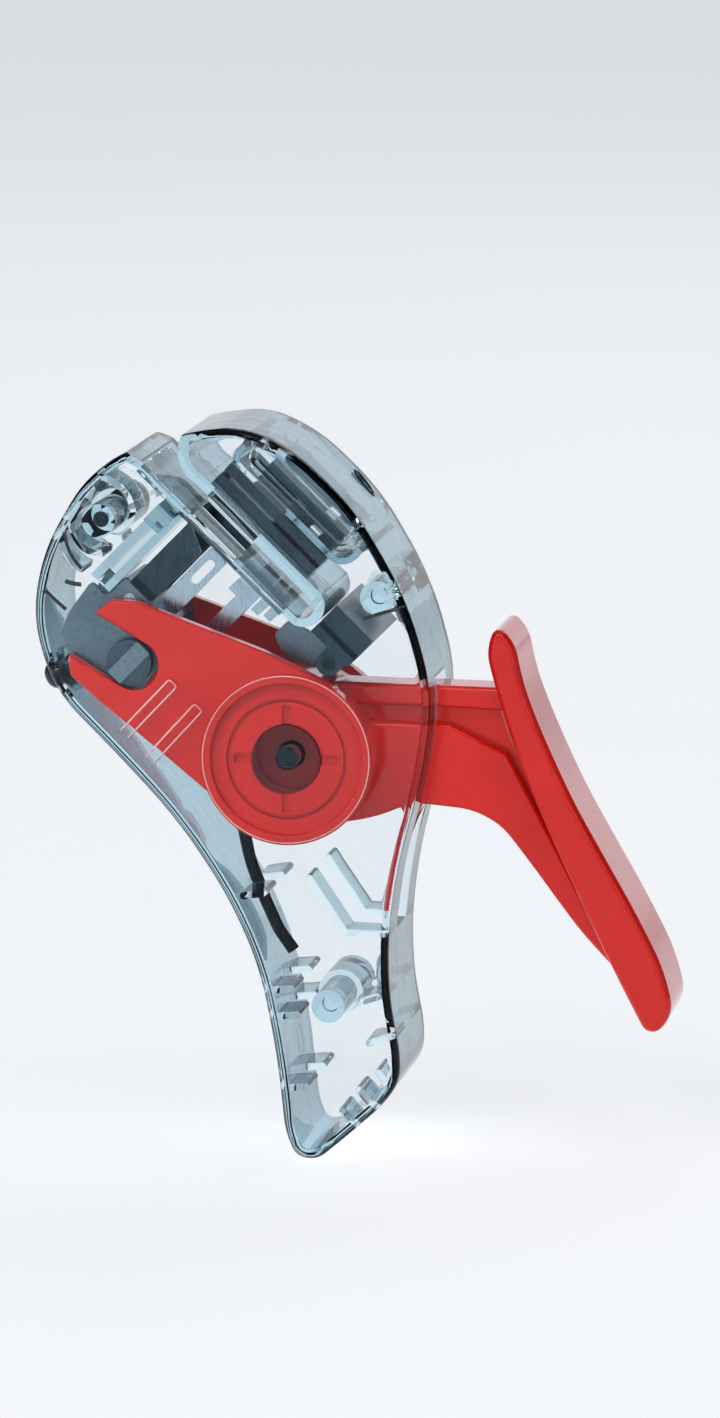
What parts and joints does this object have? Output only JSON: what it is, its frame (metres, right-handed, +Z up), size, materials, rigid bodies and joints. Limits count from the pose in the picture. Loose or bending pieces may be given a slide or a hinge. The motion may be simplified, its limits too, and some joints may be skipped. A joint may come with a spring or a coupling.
{
  "type": "staple-less stapler",
  "caption": "Hand-held staple-less stapler with a clear two-part housing, a red squeeze lever with forked arms and a sliding blade carriage.",
  "frame": {"origin": "middle of the grip, on the middle plane between the two housing halves", "axes": "+X from the grip towards the lever, +Z up along the grip towards the jaws, front half faces -Y"},
  "size_m": [0.0881, 0.025, 0.1005],
  "materials": {
    "clear_housing": "clear, blue-tinted polished plastic",
    "clear_insert": "clear polished plastic",
    "red_plastic": "glossy moulded plastic",
    "dark_steel": "oiled",
    "blackened_steel": "ground, blackened",
    "bright_steel": "ground",
    "blue_grey_steel": "satin",
    "dark_plastic": "glossy"
  },
  "bodies": {
    "housing": {"front_shell": "clear_housing", "rear_shell": "clear_housing", "shell_screw": "dark_steel", "pivot_screw": "dark_steel", "blade_guide": "clear_insert", "throat_plate": "clear_insert", "cutter_bush": "blackened_steel", "guide_bar": "bright_steel", "stripper_tabs": "bright_steel", "mouth_stop": "blackened_steel", "pusher_pin": "dark_steel", "die_plate_lower": "blackened_steel", "die_plate_upper": "blackened_steel", "die_liner": "clear_insert", "die_clamp": "blackened_steel", "return_spring": "dark_steel"},
    "lever": {"lever": "red_plastic", "front_arm": "red_plastic", "rear_arm": "red_plastic", "arm_pins": "dark_steel"},
    "carriage": {"front_carriage_plate": "blue_grey_steel", "rear_carriage_plate": "blue_grey_steel", "carriage_block": "blackened_steel", "cutter_blade": "blackened_steel", "slit_blade": "bright_steel", "drive_pin": "bright_steel", "drive_rollers": "bright_steel", "carriage_rivets": "bright_steel"},
    "pusher": {"flap_pusher": "blue_grey_steel"},
    "button": {"lock_button": "dark_plastic"}
  },
  "joints": [
    {"name": "lever_squeeze", "type": "hinge", "parent": "housing", "child": "lever", "pos_m": [-0.0075, 0, 0.03], "axis": [0, 1, 0], "range_deg": [0, 26], "stiffness_Nm_per_rad": 0.6, "springref_deg": -20.05, "deforming": ["return_spring"]},
    {"name": "carriage_slide", "type": "slide", "parent": "housing", "child": "carriage", "axis": [0.7009, 0, 0.7133], "range_m": [0, 0.01134]},
    {"name": "pusher_tilt", "type": "hinge", "parent": "housing", "child": "pusher", "pos_m": [-0.0021, 0, 0.04292], "axis": [0, 1, 0], "range_deg": [0, 7.05]},
    {"name": "lock_press", "type": "slide", "parent": "housing", "child": "button", "axis": [0.9063, 0, 0.4226], "range_m": [0, 0.002]}
  ],
  "couplings": [
    {"joint": "carriage_slide", "follows": "lever_squeeze", "m_per_rad": 0.024937},
    {"joint": "pusher_tilt", "follows": "lever_squeeze", "ratio": 0.26923}
  ]
}
